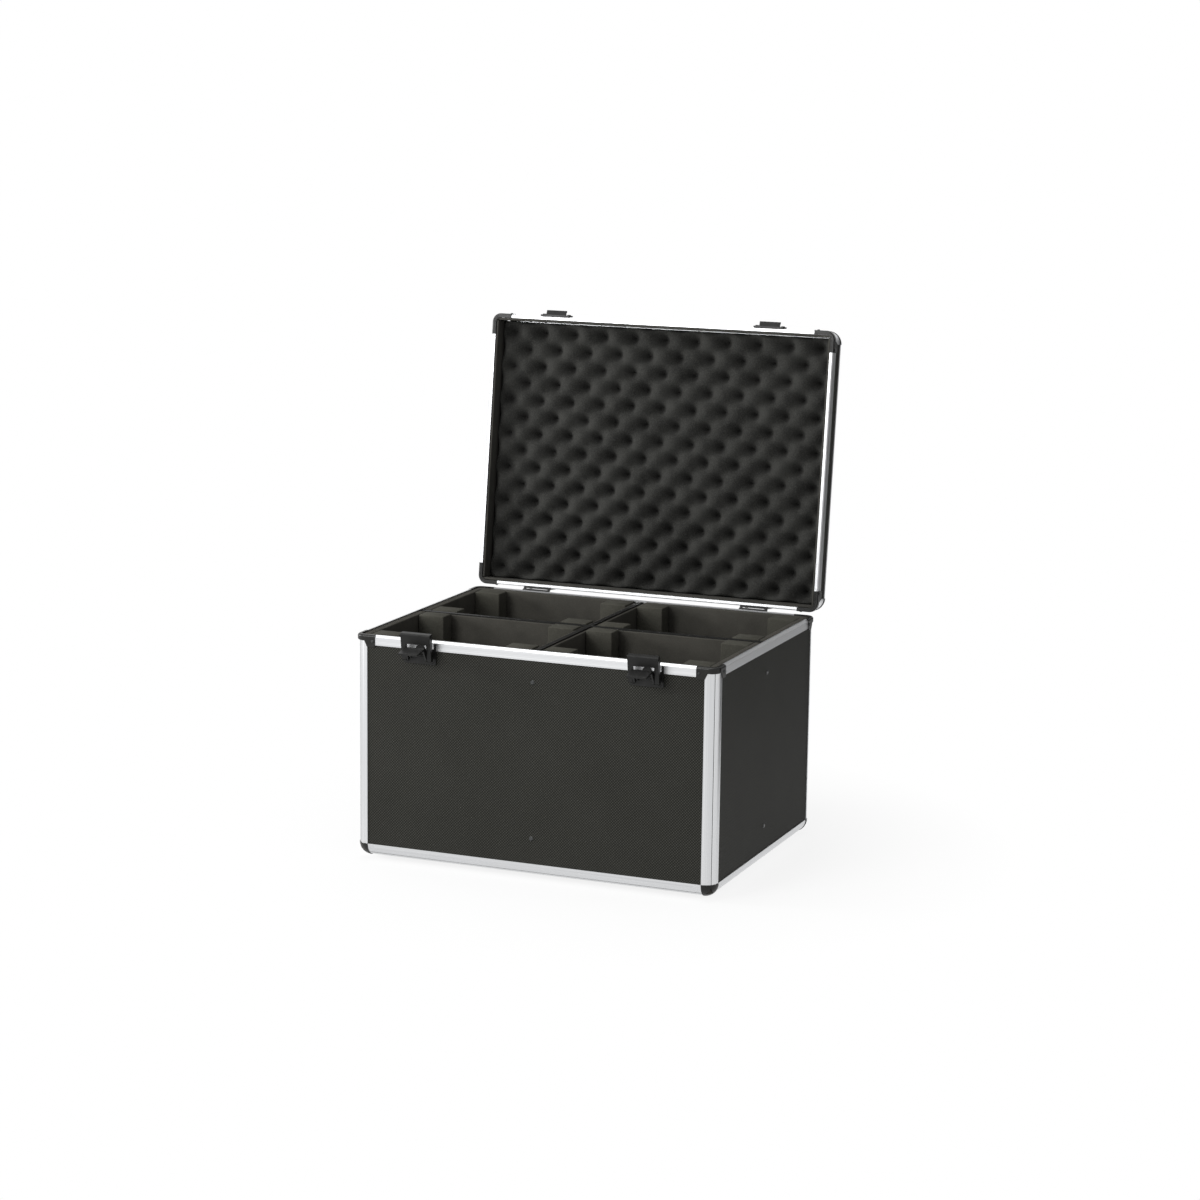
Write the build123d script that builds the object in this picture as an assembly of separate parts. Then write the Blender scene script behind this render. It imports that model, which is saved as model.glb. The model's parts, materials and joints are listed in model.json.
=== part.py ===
from build123d import *
import math
import os

# Lighting flight case with its lid open: black laminate panels held in aluminium
# quarter-round edges, aluminium closing rims, black plastic corners, two draw latches,
# two stopped hinges, a folding lid handle, and a foam-lined inside with four bays.
# Lengths are millimetres. X runs along the front, Y from front to back, Z up from the floor.
# The case is drawn with its footprint centred on X = Y = 0 and moved along Y when saved.

# Outside sizes
case_width = 530.0
case_depth = 400.0
base_height = 314.0
lid_height = 50.0
foot_height = 6.0
open_angle = 97.0
close_gap = 0.3

# Panels and the extrusions that hold them
board = 3.0
panel_inset = 1.0
edge_radius = 18.0
edge_wall = 1.0
edge_tuck = 3.0
rim_face = 14.0
rim_top = 4.2
rim_inner = 10.0
rim_bevel = 3.0
lid_rim_bevel = 1.5
rib_first = 2.2
rib_second = 3.6
rib_width = 0.5
rib_depth = 0.5

# Plastic corners
corner_leg = 30.0
corner_radius = 12.0
corner_proud = 0.8
corner_cap = 8.8
corner_round = 2.0
ear_drop = 16.8
ear_lap = 4.0
ear_round = 2.0

# Foam and dividers
soft_gap = 0.3
liner = 11.2
lid_liner = 3.5
liner_drop = 1.2
floor_pad = 5.0
divider_board = 7.0
divider_foam = 4.7
divider_drop = 2.0
divider_foam_step = 1.2
slot_clearance = 0.1
block_width = 39.5
block_depth = 27.5
crate_slab = 11.5
crate_peak = 19.5
crate_pitch = 48.0
crate_row = 25.0
crate_edge = 14.5
crate_foot_radius = 14.0
crate_top_radius = 9.0
crate_round = 5.0
crate_gap = 1.2

# Screws
screw_radius = 1.5
screw_head = 3.2
screw_head_height = 1.2
screw_clearance = 0.05
small_head = 2.2
corner_screw_length = 4.4
corner_screw_inset = 3.8
corner_screw_drop = 8.5
plate_screw_length = 5.2
divider_screw_length = 22.0
divider_screw_low = 53.0
divider_screw_top = 44.0

# Feet
foot_radius = 13.0
foot_top_radius = 15.0
foot_inset = 52.0
foot_recess_radius = 6.0
foot_recess = 3.5

# Hinges
hinge_inset = 95.0
hinge_width = 42.0
hinge_reach = 4.1
hinge_drop = 0.6
hinge_leaf = 2.0
hinge_leaf_height = 24.0
hinge_barrel = 1.6
hinge_pin = 0.8
hinge_end = 4.0
hinge_side_gap = 0.3
hinge_web = 1.3
hinge_heel = 5.5
hinge_screw_inset = 6.5
hinge_screw_rise = 12.0
pin_clearance = 0.05

# Latches
latch_inset = 99.0
latch_plate_width = 48.0
latch_plate_thick = 2.0
latch_plate_top = 11.5
latch_plate_bottom = 33.0
latch_plate_round = 2.0
latch_pad_margin = 2.0
latch_tab_radius = 6.4
latch_tab_drop = 12.5
latch_post_width = 3.0
latch_post_top = 4.0
latch_screw_inset = 5.0
lever_pin_out = 9.0
lever_pin_drop = 21.0
lever_throw = 3.5
lever_over_centre = 0.9
latch_pin = 1.5
latch_boss = 3.0
lever_width = 30.0
lever_cheek = 2.5
lever_tip_width = 28.5
lever_bend_out = 10.4
lever_bend_rise = 13.5
lever_tip_out = 31.5
lever_tip_rise = 8.5
lever_web = 3.5
lever_plate = 2.0
ear_gap = 0.3
ear_width = 3.0
hook_width = 44.0
hook_window = 31.5
hook_length = 36.0
hook_hood = 14.5
hook_wall = 2.4
hook_hood_depth = 5.5
hook_lip = 2.0
hook_lip_width = 1.5
hook_arm_half = 3.0
hook_edge = 1.6
hook_lean = 10.0
latch_gap = 0.3

# Striker plates on the lid
striker_flange_width = 47.0
striker_flange_thick = 2.5
striker_flange_height = 13.0
striker_flange_gap = 0.5
striker_screw_inset = 4.0
striker_block_width = 31.0
striker_out = 9.2
striker_foot = 3.0
striker_slope = 3.0

# Lid handle
handle_span = 120.0
handle_reach = 38.0
handle_grip_radius = 6.5
handle_arm = 6.0
handle_arm_height = 10.0
handle_post_width = 10.0
handle_post_depth = 14.0
handle_pivot_rise = 9.0
handle_plate = 2.5
handle_plate_width = 30.0
handle_plate_depth = 34.0
handle_plate_round = 4.0
handle_screw_inset = 5.0
handle_pin = 2.5
handle_gap = 0.4

# Places worked out from the sizes above
half_width = case_width / 2
half_depth = case_depth / 2
bottom = foot_height
rim = bottom + base_height
lid_low = rim + close_gap
lid_top = lid_low + lid_height
panel_back = panel_inset + board
inner_wall = panel_back + edge_wall
liner_face = inner_wall + soft_gap
room_face = liner_face + liner
lid_room_face = liner_face + lid_liner
hinge_x = half_width - hinge_inset
latch_x = half_width - latch_inset
hinge_y = half_depth + hinge_reach
hinge_z = rim - hinge_drop
handle_rest = open_angle - 90.0
room_floor = bottom + liner_face + floor_pad + soft_gap
room_top = rim - liner_drop
divider_face = divider_board / 2 + soft_gap + divider_foam


def box(low, high):
    size = [high[i] - low[i] for i in range(3)]
    middle = [(high[i] + low[i]) / 2 for i in range(3)]
    return Pos(*middle) * Box(*size)


def rect(x0, y0, x1, y1):
    return Pos((x0 + x1) / 2, (y0 + y1) / 2) * Rectangle(x1 - x0, y1 - y0)


def rod(start, end, radius):
    line = Vector(*end) - Vector(*start)
    frame = Plane(origin=start, z_dir=line.normalized())
    return frame * Cylinder(radius, line.length, align=(Align.CENTER, Align.CENTER, Align.MIN))


def side_prism(points, x0, x1):
    # A flat outline in the YZ plane, made x0 to x1 thick along X.
    outline = make_face(Plane.YZ * Polyline(*points, close=True))
    return Pos(x0, 0, 0) * extrude(outline, x1 - x0, dir=(1, 0, 0))


def front_prism(points, y0, y1):
    # A flat outline in the XZ plane, made y0 to y1 thick along Y.
    outline = make_face(Plane.XZ * Polyline(*points, close=True))
    return Pos(0, y0, 0) * extrude(outline, y1 - y0, dir=(0, 1, 0))


def mirror_x(shape):
    return mirror(shape, Plane.YZ)


def mirror_y(shape):
    return mirror(shape, Plane.XZ)


def both_sides(shape):
    return [shape, mirror_x(shape)]


def four_corners(shape):
    pair = both_sides(shape)
    return pair + [mirror_y(one) for one in pair]


def screw(point, outward, length, head_radius=screw_head):
    out = Vector(*outward)
    start = Vector(*point)
    head = Plane(origin=start, z_dir=out) * Cone(
        head_radius, head_radius * 0.7, screw_head_height,
        align=(Align.CENTER, Align.CENTER, Align.MIN))
    return head + rod(start - out * length, start + out * screw_head_height / 2, screw_radius)


def screw_hole(point, outward, length):
    out = Vector(*outward)
    start = Vector(*point)
    return rod(start - out * (length + screw_clearance), start + out, screw_radius + screw_clearance)


def open_lid(shape):
    return shape.rotate(Axis((0, hinge_y, hinge_z), (1, 0, 0)), -open_angle)


# Case outside: the front left corner is drawn, with x and y measured in from its two faces.
def at_corner(shape):
    return Pos(-half_width, -half_depth, 0) * shape


def edge_section():
    # Quarter-round extrusion: outer skin, two slots for the panels, a hollow core.
    disc = Pos(edge_radius, edge_radius) * Circle(edge_radius)
    section = disc & rect(0, 0, edge_radius, edge_radius)
    section -= rect(inner_wall, inner_wall, edge_radius, edge_radius)
    slot_start = edge_radius - edge_tuck
    section -= rect(slot_start, panel_inset, edge_radius, panel_back)
    section -= rect(panel_inset, slot_start, panel_back, edge_radius)
    core_end = slot_start - edge_wall
    core = Pos(edge_radius, edge_radius) * Circle(edge_radius - edge_wall)
    core = core & rect(0, 0, core_end, core_end)
    core -= rect(panel_back, panel_back, edge_radius, edge_radius)
    return section - core


def upright_edge(z0, z1):
    return at_corner(Pos(0, 0, z0) * extrude(edge_section(), z1 - z0))


def front_edge(z, up):
    # Runs along the front; up is 1 at the bottom of the base and -1 at the top of the lid.
    length = case_width - 2 * edge_radius
    frame = Plane(origin=(-length / 2, -half_depth, z), x_dir=(0, 1, 0), z_dir=(1, 0, 0))
    bar = extrude(edge_section(), length)
    if up < 0:
        bar = mirror(bar, Plane.XZ)
    return frame * bar


def left_edge(z, up):
    length = case_depth - 2 * edge_radius
    frame = Plane(origin=(-half_width, length / 2, z), x_dir=(1, 0, 0), z_dir=(0, -1, 0))
    bar = extrude(edge_section(), length)
    if up < 0:
        bar = mirror(bar, Plane.XZ)
    return frame * bar


def rim_section(lid):
    # Drawn for the lid with z up from the meeting plane; the base's is the same turned over.
    section = rect(0, 0, panel_inset, rim_face)
    section += rect(0, 0, inner_wall, rim_top)
    section += rect(panel_back, 0, inner_wall, rim_inner)
    size = lid_rim_bevel if lid else rim_bevel
    section -= make_face(Polyline((0, 0), (size, 0), (0, size), close=True))
    if lid:
        for n in (rib_first, rib_second):
            section -= rect(n, 0, n + rib_width, rib_depth)
        return section
    return mirror(section, Plane.XZ)


def rim_bars(z, lid):
    section = rim_section(lid)
    long_bar = case_width - 2 * corner_leg
    short_bar = case_depth - 2 * corner_leg
    along = Plane(origin=(-long_bar / 2, -half_depth, z), x_dir=(0, 1, 0), z_dir=(1, 0, 0))
    front = along * extrude(section, long_bar)
    # The left bar's section is mirrored so that its depth runs inwards along X.
    side = Plane(origin=(-half_width, short_bar / 2, z), x_dir=(1, 0, 0), z_dir=(0, -1, 0))
    left = side * extrude(section, short_bar)
    return [front, mirror_y(front), left, mirror_x(left)]


def corner_plan(n0, n1):
    # Band that follows the rounded plastic corner between two depths in from the outer face.
    ring = Pos(corner_radius, corner_radius) * Circle(corner_radius - n0)
    ring -= Pos(corner_radius, corner_radius) * Circle(corner_radius - n1)
    band = ring & rect(n0 - 1, n0 - 1, corner_radius, corner_radius)
    band += rect(corner_radius, n0, corner_leg, n1)
    band += rect(n0, corner_radius, n1, corner_leg)
    return band


def panel_slots(z0, z1):
    start = edge_radius - edge_tuck
    far = 2 * corner_leg
    front = box((start, panel_inset, z0), (far, panel_back, z1))
    side = box((panel_inset, start, z0), (panel_back, far, z1))
    return front + side


def outer_rim_edges(cap, z):
    # The edges of the plastic corner's outer face that lie at height z.
    flat = cap.edges().filter_by_position(Axis.Z, z - 0.01, z + 0.01)
    limit = corner_radius - corner_proud
    chosen = []
    for edge in flat:
        middle = edge.position_at(0.5)
        on_front = abs(middle.Y + corner_proud) < 0.01
        on_side = abs(middle.X + corner_proud) < 0.01
        reach = math.hypot(middle.X - corner_radius, middle.Y - corner_radius)
        on_arc = abs(reach - corner_radius - corner_proud) < 0.01 and middle.X < limit and middle.Y < limit
        if on_front or on_side or on_arc:
            chosen.append(edge)
    return chosen


def rim_corner(lid):
    # Drawn for the lid, z up from the meeting plane, then turned over for the base.
    cap = extrude(corner_plan(-corner_proud, inner_wall), corner_cap)
    cap = fillet(outer_rim_edges(cap, 0), lid_rim_bevel if lid else rim_bevel)
    cap = fillet(outer_rim_edges(cap, corner_cap), corner_round)
    start = corner_cap - corner_round - 0.5
    ear = box((edge_radius, -corner_proud, start), (corner_leg, panel_inset, ear_drop))
    low_end = ear.edges().filter_by(Axis.Y).sort_by(lambda e: e.center().X + e.center().Z)[-1:]
    ear = fillet(low_end, ear_round)
    lap = [(edge_radius, start), (edge_radius - ear_lap, start), (edge_radius - ear_lap, corner_cap),
           (edge_radius, ear_drop)]
    ear += front_prism(lap, -corner_proud, 0)
    twin = mirror(ear, Plane(origin=(0, 0, 0), z_dir=(1, -1, 0)))
    cap = cap + ear + twin
    cap -= panel_slots(rim_top, ear_drop + 1)
    if lid:
        for n in (rib_first, rib_second):
            cap -= extrude(corner_plan(n, n + rib_width), rib_depth)
        return cap
    return mirror(cap, Plane.XY)


def ball_corner():
    # Drawn at the bottom of the base with z up from its lowest point.
    centre = Pos(edge_radius, edge_radius, edge_radius)
    shell = centre * Sphere(edge_radius + corner_proud)
    out = -corner_proud
    shell = shell & box((out, out, out), (edge_radius, edge_radius, edge_radius))
    shell -= box((inner_wall,) * 3, (2 * edge_radius,) * 3)
    start = edge_radius - edge_tuck
    far = 2 * edge_radius
    shell -= panel_slots(start, far)
    shell -= box((start, start, panel_inset), (far, far, panel_back))
    return shell


def corner_screw_points(z):
    x = corner_leg - corner_screw_inset
    return [((-half_width + x, -half_depth - corner_proud, z), (0, -1, 0)),
            ((-half_width - corner_proud, -half_depth + x, z), (-1, 0, 0))]


def corner_screws(z):
    one = [screw(p, d, corner_screw_length, small_head) for p, d in corner_screw_points(z)]
    return [copy for part in one for copy in four_corners(part)]


def corner_screw_holes(z):
    one = [screw_hole(p, d, corner_screw_length) for p, d in corner_screw_points(z)]
    return [copy for part in one for copy in four_corners(part)]


def wall_panels(z0, z1):
    reach_x = half_width - edge_radius + edge_tuck
    reach_y = half_depth - edge_radius + edge_tuck
    front = box((-reach_x, -half_depth + panel_inset, z0), (reach_x, -half_depth + panel_back, z1))
    left = box((-half_width + panel_inset, -reach_y, z0), (-half_width + panel_back, reach_y, z1))
    return {"front": front, "rear": mirror_y(front), "left": left, "right": mirror_x(left)}


def flat_panel(z0, z1):
    reach_x = half_width - edge_radius + edge_tuck
    reach_y = half_depth - edge_radius + edge_tuck
    return box((-reach_x, -reach_y, z0), (reach_x, reach_y, z1))


def wall_liner(z0, z1, thick, split):
    # Sheets against the walls; split is half the width left open for a divider, or 0.
    x = half_width - liner_face
    y = half_depth - liner_face
    core = Pos(0, 0, z0) * extrude(RectangleRounded(2 * x, 2 * y, corner_radius - liner_face), z1 - z0)
    side_y = y - thick - soft_gap
    front_end = -split if split else x
    left_end = -split if split else side_y
    front = box((-x, -y, z0), (front_end, -y + thick, z1)) & core
    left = box((-x, -side_y, z0), (-x + thick, left_end, z1)) & core
    if split:
        return four_corners(front) + four_corners(left)
    return [front, mirror_y(front), left, mirror_x(left)]


def cut_all(shape, tools):
    for tool in tools:
        shape = shape - tool
    return shape


# Screws that hold the dividers, two in each wall
def divider_screw_points():
    points = []
    for z in (bottom + divider_screw_low, rim - divider_screw_top):
        points.append(((0, -half_depth + panel_inset, z), (0, -1, 0)))
        points.append(((0, half_depth - panel_inset, z), (0, 1, 0)))
        points.append(((-half_width + panel_inset, 0, z), (-1, 0, 0)))
        points.append(((half_width - panel_inset, 0, z), (1, 0, 0)))
    return points


def dividers():
    # The boards and their foam reach the walls; the wall liner is split to let them through.
    x = half_width - liner_face
    y = half_depth - liner_face
    half = divider_board / 2
    top = rim - divider_drop
    middle = (room_floor + top) / 2
    slot = half + slot_clearance
    long_board = box((-x, -half, room_floor), (x, half, top))
    long_board -= box((-slot, -slot, middle), (slot, slot, top + 1))
    cross_board = box((-half, -y, room_floor), (half, y, top))
    cross_board -= box((-slot, -slot, room_floor - 1), (slot, slot, middle))
    face = half + soft_gap
    low = top - divider_foam_step
    on_long = box((-x, -divider_face, room_floor), (-divider_face - soft_gap, -face, low))
    on_cross = box((-divider_face, -y, room_floor), (-face, -face, low))
    return long_board, cross_board, four_corners(on_long) + four_corners(on_cross)


def foam_blocks():
    # Four upright blocks stand in the corners of each bay; the front left bay is drawn.
    x_wall = -half_width + room_face + soft_gap
    y_wall = -half_depth + room_face + soft_gap
    x_middle = -divider_face - soft_gap
    y_middle = -divider_face - soft_gap
    blocks = []
    for x in (x_wall, x_middle - block_width):
        for y in (y_wall, y_middle - block_depth):
            blocks.append(box((x, y, room_floor), (x + block_width, y + block_depth, room_top)))
    return blocks


def feet():
    x = -half_width + foot_inset
    y = -half_depth + foot_inset
    height = bottom + panel_inset
    foot = Cone(foot_radius, foot_top_radius, height, align=(Align.CENTER, Align.CENTER, Align.MIN))
    foot -= Cylinder(foot_recess_radius, foot_recess, align=(Align.CENTER, Align.CENTER, Align.MIN))
    foot -= rod((0, 0, 0), (0, 0, height + 1), screw_radius + screw_clearance)
    top = foot_recess
    fixing = screw((x, y, top), (0, 0, -1), height - top + board - 1)
    hole = screw_hole((x, y, top), (0, 0, -1), height - top + board - 1)
    return four_corners(Pos(x, y, 0) * foot), four_corners(fixing), four_corners(hole)


def hinge_parts():
    # Built closed and centred on x = 0; the lid's half is opened with the lid.
    y0 = half_depth
    half = hinge_width / 2
    inner = half - hinge_end
    room = inner - hinge_side_gap
    bore = rod((-half - 1, hinge_y, hinge_z), (half + 1, hinge_y, hinge_z), hinge_pin + pin_clearance)
    base_leaf = box((-half, y0, rim - hinge_leaf_height), (half, y0 + hinge_leaf, rim))
    base_leaf += rod((-room, hinge_y, hinge_z), (room, hinge_y, hinge_z), hinge_barrel)
    base_leaf += box((-room, y0, hinge_z - hinge_barrel), (room, hinge_y, hinge_z))
    base_leaf -= bore
    lid_leaf = box((-half, y0, lid_low), (half, y0 + hinge_leaf, lid_low + hinge_leaf_height))
    # The heel meets the base leaf at the open angle; drawn open, then turned back to closed.
    heel_y = y0 + hinge_leaf + hinge_side_gap
    for x0, x1 in ((-half, -inner), (inner, half)):
        lid_leaf += rod((x0, hinge_y, hinge_z), (x1, hinge_y, hinge_z), hinge_barrel)
        lid_leaf += box((x0, y0, lid_low), (x1, hinge_y, lid_low + hinge_web))
        heel = box((x0, heel_y, hinge_z - hinge_heel), (x1, hinge_y, hinge_z))
        lid_leaf += heel.rotate(Axis((0, hinge_y, hinge_z), (1, 0, 0)), open_angle)
    lid_leaf -= bore
    pin = rod((-half, hinge_y, hinge_z), (half, hinge_y, hinge_z), hinge_pin)
    return base_leaf, lid_leaf, pin


def hinge_screw_points(upper):
    side = 1 if upper else -1
    x = hinge_width / 2 - hinge_screw_inset
    z = rim + side * hinge_screw_rise
    y = half_depth + hinge_leaf
    return [((one, y, z), (0, 1, 0)) for one in (-x, x)]


# Latch shapes are drawn around x = 0 on the front face
def latch_point(out, drop):
    return (-half_depth - out, rim - drop)


lever_axis = latch_point(lever_pin_out, lever_pin_drop)
hook_axis = latch_point(lever_pin_out + lever_over_centre, lever_pin_drop + lever_throw)


def latch_base():
    front = -half_depth
    half = latch_plate_width / 2
    low = rim - latch_plate_bottom
    high = rim - latch_plate_top
    face = front - latch_plate_thick
    plate = box((-half, face, low), (half, front, high))
    plate = fillet(plate.edges().filter_by(Axis.Y), latch_plate_round)
    # A round tab in the middle and a narrow post at each end stand above the plate.
    tab_z = rim - latch_tab_drop
    plate += rod((0, face, tab_z), (0, front, tab_z), latch_tab_radius)
    for x0, x1 in ((-half, -half + latch_post_width), (half - latch_post_width, half)):
        middle = (low + high) / 2
        plate += box((x0, face, middle), (x1, front, rim - latch_post_top))
    margin = latch_pad_margin
    plate += box((-half + margin, front, low + margin),
                 (half - margin, front + panel_inset, rim - rim_face - close_gap))
    ear_out = lever_width / 2 - lever_cheek - ear_gap
    y1, z1 = lever_axis
    for x0, x1 in ((ear_out - ear_width, ear_out), (-ear_out, -ear_out + ear_width)):
        ear = box((x0, y1, z1 - latch_boss), (x1, face, z1 + latch_boss))
        plate += ear + rod((x0, y1, z1), (x1, y1, z1), latch_boss)
    return plate - rod((-half, y1, z1), (half, y1, z1), latch_pin + pin_clearance)


def latch_screw_points():
    x = latch_plate_width / 2 - latch_screw_inset
    z = rim - latch_plate_bottom + latch_screw_inset
    y = -half_depth - latch_plate_thick
    return [((-x, y, z), (0, -1, 0)), ((x, y, z), (0, -1, 0))]


def latch_lever():
    # Two cheeks carry the pins and meet at a bend, from which the finger lip runs out.
    y1, z1 = lever_axis
    y2, z2 = hook_axis
    half = lever_width / 2
    bend = (y1 - lever_bend_out, z1 + lever_bend_rise)
    tip = (y1 - lever_tip_out, z1 + lever_tip_rise)
    web = (bend[0] + lever_web, bend[1] - lever_plate / 2)
    lip = side_prism([web, bend, tip, (tip[0], tip[1] - lever_plate),
                      (bend[0], bend[1] - lever_plate), (web[0], web[1] - lever_plate)], -half, half)
    taper = (lever_width - lever_tip_width) / 2
    for side in (-1, 1):
        wedge = make_face(Polyline((side * half, bend[0]), (side * (half - taper), tip[0]),
                                   (side * (half - taper), tip[0] - 1), (side * (half + 1), tip[0] - 1),
                                   (side * (half + 1), bend[0]), close=True))
        lip -= Pos(0, 0, z1) * extrude(wedge, lever_bend_rise + 1)
    cheek = side_prism([(y2 - latch_boss, z2), (bend[0] - lever_plate, bend[1] - 2 * lever_plate),
                        (bend[0], bend[1]), web, (y1 + latch_boss, z1 + 1),
                        (y2 + latch_boss, z2)], half - lever_cheek, half)
    cheek += rod((half - lever_cheek, y2, z2), (half, y2, z2), latch_boss)
    cheek += rod((half - lever_cheek, y1, z1), (half, y1, z1), latch_boss)
    lever = lip + cheek + mirror_x(cheek)
    lever -= rod((-half - 1, y1, z1), (half + 1, y1, z1), latch_pin + pin_clearance)
    lever -= rod((-half - 1, y2, z2), (half + 1, y2, z2), latch_pin + pin_clearance)
    return lever


def latch_hook():
    # Drawn upright as when latched, then leaned out about its pin.
    y2, z2 = hook_axis
    half = hook_width / 2
    window = hook_window / 2
    top = z2 + hook_length
    hood_low = top - hook_hood
    face = y2 - hook_wall
    back = y2 + hook_hood_depth
    body = box((-half, face, hood_low), (half, y2, top))
    body += box((-half, face, top - hook_wall), (half, back, top))
    body += box((-window, back - hook_lip_width, top - hook_wall - hook_lip), (window, back, top))
    high_front = body.edges().filter_by(Axis.X).sort_by(lambda e: e.center().Z - e.center().Y)[-1:]
    body = chamfer(high_front, hook_edge)
    for x0, x1 in ((window, half), (-half, -window)):
        cheek = side_prism([(y2 - hook_arm_half, z2), (face, hood_low), (face, top - hook_edge),
                            (face + hook_edge, top), (back, top), (back, hood_low + hook_hood_depth),
                            (y2 + hook_arm_half, hood_low - hook_arm_half), (y2 + hook_arm_half, z2)],
                           x0, x1)
        body += cheek + rod((x0, y2, z2), (x1, y2, z2), hook_arm_half)
    body -= rod((-half - 1, y2, z2), (half + 1, y2, z2), latch_pin + pin_clearance)
    return body.rotate(Axis((0, y2, z2), (1, 0, 0)), hook_lean)


def latch_hook_pins():
    y2, z2 = hook_axis
    inner = lever_width / 2 - lever_cheek
    outer = hook_width / 2
    return both_sides(rod((inner, y2, z2), (outer, y2, z2), latch_pin))


def latch_lever_pin():
    y1, z1 = lever_axis
    half = lever_width / 2
    return rod((-half, y1, z1), (half, y1, z1), latch_pin)


def striker():
    # Flange on the lid's rim with a block whose top takes the hook's hood, drawn closed.
    face = -half_depth
    half = striker_flange_width / 2
    z0 = lid_low + striker_flange_gap
    flange = box((-half, face - striker_flange_thick, z0), (half, face, z0 + striker_flange_height))
    flange = fillet(flange.edges().filter_by(Axis.Y), latch_plate_round)
    hood_under = hook_axis[1] + hook_length - hook_wall
    lip_under = hood_under - hook_lip
    lip_front = hook_axis[0] + hook_hood_depth - hook_lip_width
    ridge_back = lip_front - latch_gap
    ridge_front = face - striker_out
    block_half = striker_block_width / 2
    z1 = lid_low + striker_foot
    points = [(face, z1), (ridge_front, z1 + striker_slope), (ridge_front, hood_under - latch_gap),
              (ridge_back, hood_under - latch_gap), (ridge_back, lip_under - latch_gap),
              (face, lip_under - latch_gap)]
    return flange + side_prism(points, -block_half, block_half)


def striker_screw_points():
    x = striker_flange_width / 2 - striker_screw_inset
    z = lid_low + striker_flange_gap + striker_flange_height / 2
    return [((s * x, -half_depth - striker_flange_thick, z), (0, -1, 0)) for s in (-1, 1)]


def handle_parts():
    # Drawn on the closed lid, folded flat towards the hinges.
    face = lid_top - panel_inset
    z = face + handle_pivot_rise
    post = handle_span / 2
    plate = box((post - handle_plate_width / 2, -handle_plate_depth / 2, face),
                (post + handle_plate_width / 2, handle_plate_depth / 2, face + handle_plate))
    plate = fillet(plate.edges().filter_by(Axis.Z), handle_plate_round)
    half_post = handle_post_width / 2
    depth = handle_post_depth / 2
    plate += box((post - half_post, -depth, face), (post + half_post, depth, z))
    plate += rod((post - half_post, 0, z), (post + half_post, 0, z), depth)
    plate -= rod((post - half_post - 1, 0, z), (post + half_post + 1, 0, z), handle_pin + pin_clearance)
    arm_in = post + half_post + handle_gap
    arm_out = arm_in + handle_arm
    arm_half = handle_arm_height / 2
    arm = box((arm_in, 0, z - arm_half), (arm_out, handle_reach, z + arm_half))
    arm += rod((arm_in, 0, z), (arm_out, 0, z), arm_half)
    grip = rod((-arm_out, handle_reach, z), (arm_out, handle_reach, z), handle_grip_radius)
    bail = grip + arm + mirror_x(arm)
    bail -= rod((-arm_out - 1, 0, z), (arm_out + 1, 0, z), handle_pin + pin_clearance)
    bail = bail.rotate(Axis((0, 0, z), (1, 0, 0)), handle_rest)
    pin = rod((post - half_post, 0, z), (arm_out, 0, z), handle_pin)
    return both_sides(plate), bail, both_sides(pin)


def handle_screw_points():
    face = lid_top - panel_inset + handle_plate
    x = handle_span / 2
    y = handle_plate_depth / 2 - handle_screw_inset
    points = []
    for sx in (-1, 1):
        for sy in (-1, 1):
            points.append(((sx * x, sy * y, face), (0, 0, 1)))
    return points


def egg_crate():
    # Convoluted foam: a slab with rounded pegs in staggered rows, drawn in the closed lid.
    x = half_width - lid_room_face - crate_gap
    y = half_depth - lid_room_face - crate_gap
    roof = lid_top - liner_face
    under = roof - crate_slab
    slab = box((-x, -y, under), (x, y, roof))
    peg = Cone(crate_foot_radius, crate_top_radius, crate_peak)
    peg = fillet(peg.edges().sort_by(Axis.Z)[-1:], crate_round)
    peg = Pos(0, 0, -crate_peak / 2) * mirror(peg, Plane.XY)
    pegs = []
    margin = crate_edge
    count_x = int((x - margin) // (crate_pitch / 2))
    count_y = int((y - margin) // crate_row)
    for i in range(-count_x, count_x + 1):
        for j in range(-count_y, count_y + 1):
            if (i + j) % 2:
                continue
            pegs.append(Pos(i * crate_pitch / 2, j * crate_row, under) * peg)
    return slab.fuse(*pegs)


parts = {}


def add(name, shapes):
    parts[name] = shapes if isinstance(shapes, list) else [shapes]


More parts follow.
